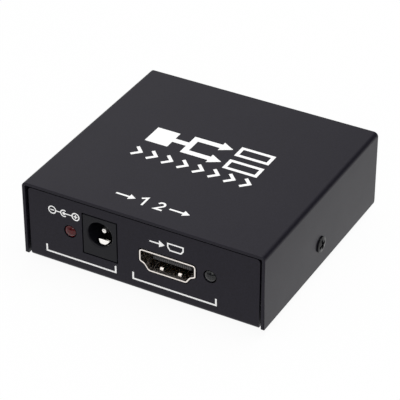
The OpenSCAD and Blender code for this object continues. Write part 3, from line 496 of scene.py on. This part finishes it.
def bracket(shape, left, right):
    """A bracket under a group of sockets: a bar with its ends turned up."""
    bar = UNDERSIDE + BRACKET_BAR
    top = UNDERSIDE + BRACKET_TOP
    stroke(shape, on_front, [(left, top), (left, bar), (right, bar), (right, top)], BRACKET_STROKE)


def polarity_mark(shape, u, v):
    """Direct current polarity: minus outside, plus on the centre pin."""
    reach, ring_r, sign, width = 3.2, 0.95, 0.5, 0.28
    sleeve_r, sleeve_mouth, pin_r = 0.85, 55, 0.4
    half = width / 2
    for side in (-1, 1):
        stroke(shape, on_front, ring((u + side * reach, v), ring_r, count=24), width, closed=True)
        stroke(shape, on_front, [(u + side * reach - sign, v), (u + side * reach + sign, v)], width)
        stroke(shape, on_front, [(u + reach, v + side * half), (u + reach, v + side * sign)], width)
    stroke(shape, on_front, arc((u, v), sleeve_r, sleeve_mouth, 360 - sleeve_mouth, steps=16), width)
    patch(shape, on_front, ring((u, v), pin_r, count=18))
    stroke(shape, on_front, [(u - reach + ring_r + half, v), (u - sleeve_r - half, v)], width)
    stroke(shape, on_front, [(u + pin_r, v), (u + reach - ring_r - half, v)], width)


def input_mark(shape, u, v):
    """Signal in: an arrow to the outline of a socket's mouth."""
    reach, gap, width, head = 4.4, 0.4, 0.34, 1.5
    half, shoulder, slant = 0.9, -0.1, 0.6
    mouth = [(gap, half), (gap, shoulder), (gap + slant, -half),
             (reach - slant, -half), (reach, shoulder), (reach, half)]
    arrow(shape, on_front, u - reach, u - gap, v, width, head)
    stroke(shape, on_front, [(u + across, v + up) for across, up in mouth], width, closed=True)


def flow_mark(shape):
    """One box feeding two screens: a filled box, a square branch with two arrows, and two screen outlines."""
    middle, reach, half, wing = 3, 3.05, 0.8, 1.85
    box_left, box_right, box_half = -16, -9.8, 3.3
    fork, neck, tip = -5.2, 1.6, 4.8
    screen_left, screen_right, screen_half, screen_stroke = 6.6, 14.85, 1.65, 0.9
    upper = [(box_left, box_half), (box_right, box_half), (box_right, half), (fork - half, half),
             (fork - half, reach + half), (neck, reach + half), (neck, reach + wing), (tip, reach),
             (neck, reach - wing), (neck, reach - half), (fork + half, reach - half)]
    lower = [(u, -v) for u, v in reversed(upper)]
    patch(shape, on_top, [(u, middle + v) for u, v in upper + lower])
    for level in (middle - reach, middle + reach):
        stroke(shape, on_top, [(screen_left, level - screen_half), (screen_right, level - screen_half),
                               (screen_right, level + screen_half), (screen_left, level + screen_half)],
               screen_stroke, closed=True)


def chevrons(shape):
    """A row of chevrons that point the way of the signal."""
    count, first, last, middle = 8, -15, 14.3, -5.4
    half, reach, width = 0.9, 1.8, 0.85
    for i in range(count):
        u = first + (last - first) * i / (count - 1)
        path = [(u - half, middle + reach), (u + half, middle), (u - half, middle - reach)]
        stroke(shape, on_top, path, width)


def count_mark(shape):
    """One in, two out: an arrow to a numeral, and a numeral with an arrow from it."""
    base, height, width, head = -25, 3.3, 0.52, 1.7
    middle = base + height / 2
    foot = base + width / 2
    in_left, in_tip, out_left, out_tip = -10.2, -5, 4, 9.3
    flag, stem, flag_level, stem_top = -3.8, -2.5, base + 0.74 * height, base + height - 0.1
    curl_x, curl_level, curl_r, curl_start, curl_end = 1.6, base + height - 1.05, 0.8, 170, -35
    foot_left, foot_right = 0.75, 2.7
    arrow(shape, on_top, in_left, in_tip, middle, width, head)
    stroke(shape, on_top, [(flag, flag_level), (stem, stem_top), (stem, base)], width)
    curl = arc((curl_x, curl_level), curl_r, curl_start, curl_end, steps=12)
    stroke(shape, on_top, curl + [(foot_left, foot), (foot_right, foot)], width)
    arrow(shape, on_top, out_left, out_tip, middle, width, head)


jack_x = node_middle("jack_body").x
input_x = node_middle("input_shell").x
power_lamp_x = node_middle("power_led_leads").x
input_lamp_x = node_middle("input_led_leads").x

brackets = bmesh.new()
bracket(brackets, power_lamp_x - POWER_BRACKET_LEFT, jack_x + POWER_BRACKET_RIGHT)
bracket(brackets, input_x - INPUT_BRACKET_LEFT, input_lamp_x + INPUT_BRACKET_RIGHT)
new_piece("panel_brackets", brackets, ink)

captions = bmesh.new()
polarity_mark(captions, power_lamp_x - POLARITY_SHIFT, UNDERSIDE + CAPTION_LEVEL)
input_mark(captions, input_x - INPUT_SHIFT, UNDERSIDE + CAPTION_LEVEL)
new_piece("panel_symbols", captions, ink)

top_print = bmesh.new()
flow_mark(top_print)
chevrons(top_print)
count_mark(top_print)
new_piece("cover_print", top_print, ink)


# Lamp innards: what shows through each lens

def turned_part(shape, place, profile, steps=32):
    """A part turned round the lamp's axis: a closed profile of radius and depth."""
    rings = []
    for i in range(steps):
        across = math.cos(math.tau * i / steps)
        up = math.sin(math.tau * i / steps)
        rings.append([shape.verts.new(place(r * across, depth, r * up)) for r, depth in profile])
    for i in range(steps):
        a, b = rings[i], rings[(i + 1) % steps]
        for k in range(len(profile)):
            m = (k + 1) % len(profile)
            shape.faces.new((a[k], a[m], b[m], b[k]))


def lamp_frame(lamp):
    """Lead frame cast in a lens: the anvil with its cup, and the post beside it."""
    low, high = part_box(lamp)
    x = node_middle(lamp + "_leads").x
    z = node_middle(lamp).z
    facing = -1 if low.y + high.y < 0 else 1
    tip = (low.y if facing < 0 else high.y) / MM
    back = (high.y - low.y) / MM - FRAME_INSET
    shelf = CUP_FLOOR - ANVIL_BITE
    # Outlines across the lamp and along its depth
    anvil = [(-1.3, back), (-0.8, back), (-0.3, 3.9), (0.5, 3.5), (0.5, shelf), (-0.75, shelf),
             (-0.75, 3.6), (-1.3, 4.2)]
    post = [(0.8, back), (1.25, back), (1.25, 3.6), (1.1, 2.7), (0.85, 2.7), (0.8, 3.3)]
    cup = [(CUP_CORE_R, CUP_FLOOR), (CUP_FLOOR_R, CUP_FLOOR), (CUP_R - CUP_RIM, CUP_DEPTH),
           (CUP_R, CUP_DEPTH), (CUP_R, CUP_BASE), (CUP_CORE_R, CUP_BASE)]

    def place(u, depth, lift):
        """A point of the frame: u across the lamp, depth from its tip, lift from its axis."""
        return Vector((x + facing * u, tip - facing * depth, z + lift)) * MM

    shape = bmesh.new()
    for outline in (anvil, post):
        slab(shape, place, outline, -FRAME_T / 2, FRAME_T / 2)
    turned_part(shape, place, cup)
    new_piece(lamp + "_frame", shape, tin_plate)


for lamp in ("power_led", "input_led", "output_1_led", "output_2_led"):
    lamp_frame(lamp)


# Studio: white paper floor, white room, soft lamps

def ray_shares(tree):
    """1 for rays straight from the camera, and 1 for rays by way of a mirror or a lens."""
    rays = add_node(tree, "ShaderNodeLightPath")
    mirrored = add_node(tree, "ShaderNodeMath",
                        {0: rays.outputs["Is Glossy Ray"], 1: rays.outputs["Is Transmission Ray"]},
                        operation="MAXIMUM")
    return rays.outputs["Is Camera Ray"], mirrored.outputs[0]


def white_room(lit, wall, ceiling):
    """White behind the object, with a plain level of fill light on matt surfaces.
    What shines also shows the darker walls, low down and to the right of the bright ceiling."""
    world = bpy.data.worlds.new("white_room")
    tree = empty_tree(world)
    camera, mirrored = ray_shares(tree)
    way = add_node(tree, "ShaderNodeTexCoord").outputs["Generated"]
    height = add_node(tree, "ShaderNodeVectorMath", {0: way, 1: CEILING_WAY}, operation="DOT_PRODUCT")
    room = add_node(tree, "ShaderNodeMapRange",
                    {"Value": height.outputs["Value"], "From Min": WALL_END, "From Max": CEILING_FULL,
                     "To Min": wall, "To Max": ceiling})
    fill = spread(tree, mirrored, (lit, room.outputs["Result"]))
    level = spread(tree, camera, (fill, 1))
    air = add_node(tree, "ShaderNodeBackground", {"Color": WHITE, "Strength": level})
    add_node(tree, "ShaderNodeOutputWorld", {"Surface": air.outputs["Background"]})
    bpy.context.scene.world = world


def white_paper(glow, mirrored_level):
    """Paper so evenly lit that only the object's soft shadow shows on it.
    It is a little dimmer in what shines than it is straight from the camera."""
    material = bpy.data.materials.new("white_paper")
    tree = empty_tree(material)
    camera, mirrored = ray_shares(tree)
    matt = add_node(tree, "ShaderNodeBsdfDiffuse", {"Color": linear("#f4f4f4")})
    level = spread(tree, mirrored, (1, mirrored_level))
    even = add_node(tree, "ShaderNodeEmission", {"Color": WHITE, "Strength": level})
    seen = add_node(tree, "ShaderNodeMath", {0: camera, 1: mirrored}, operation="MAXIMUM")
    share = add_node(tree, "ShaderNodeMath", {0: seen.outputs[0], 1: glow}, operation="MULTIPLY")
    paper = add_node(tree, "ShaderNodeMixShader",
                     {0: share.outputs[0], 1: matt.outputs["BSDF"], 2: even.outputs["Emission"]})
    add_node(tree, "ShaderNodeOutputMaterial", {"Surface": paper.outputs["Shader"]})
    return material


def paper_floor(half, finish):
    """A square of paper under the object."""
    shape = bmesh.new()
    corners = [(-half, -half), (half, -half), (half, half), (-half, half)]
    shape.faces.new([shape.verts.new((u * MM, v * MM, 0)) for u, v in corners])
    floor = add_object("paper_floor", made_mesh("paper_floor", shape, finish))


def soft_lamp(name, place, size, power):
    """A square soft box that faces the object."""
    light = bpy.data.lights.new(name, "AREA")
    light.size = size * MM
    light.energy = power
    lamp = add_object(name, light)
    lamp.location = Vector(place) * MM
    lamp.rotation_euler = (VIEW_TARGET * MM - lamp.location).to_track_quat("-Z", "Y").to_euler()


white_room(lit=0.62, wall=0.1, ceiling=1.45)
paper_floor(half=1500, finish=white_paper(glow=0.94, mirrored_level=0.93))
soft_lamp("overhead_box", place=(150, 120, 700), size=500, power=2.4)
soft_lamp("front_box", place=(250, -650, 450), size=450, power=1.2)


# Camera

def photograph_camera():
    """A long lens at the photograph's angle and distance."""
    azimuth = math.radians(VIEW_AZIMUTH)
    elevation = math.radians(VIEW_ELEVATION)
    back = Vector((math.sin(azimuth) * math.cos(elevation), -math.cos(azimuth) * math.cos(elevation),
                   math.sin(elevation)))
    lens = bpy.data.cameras.new("photograph_camera")
    lens.lens = LENS
    lens.sensor_width = SENSOR
    camera = add_object("photograph_camera", lens)
    camera.location = (VIEW_TARGET + back * VIEW_DISTANCE) * MM
    camera.rotation_euler = (-back).to_track_quat("-Z", "Y").to_euler()
    bpy.context.scene.camera = camera


photograph_camera()
bpy.context.scene.view_settings.view_transform = "Standard"
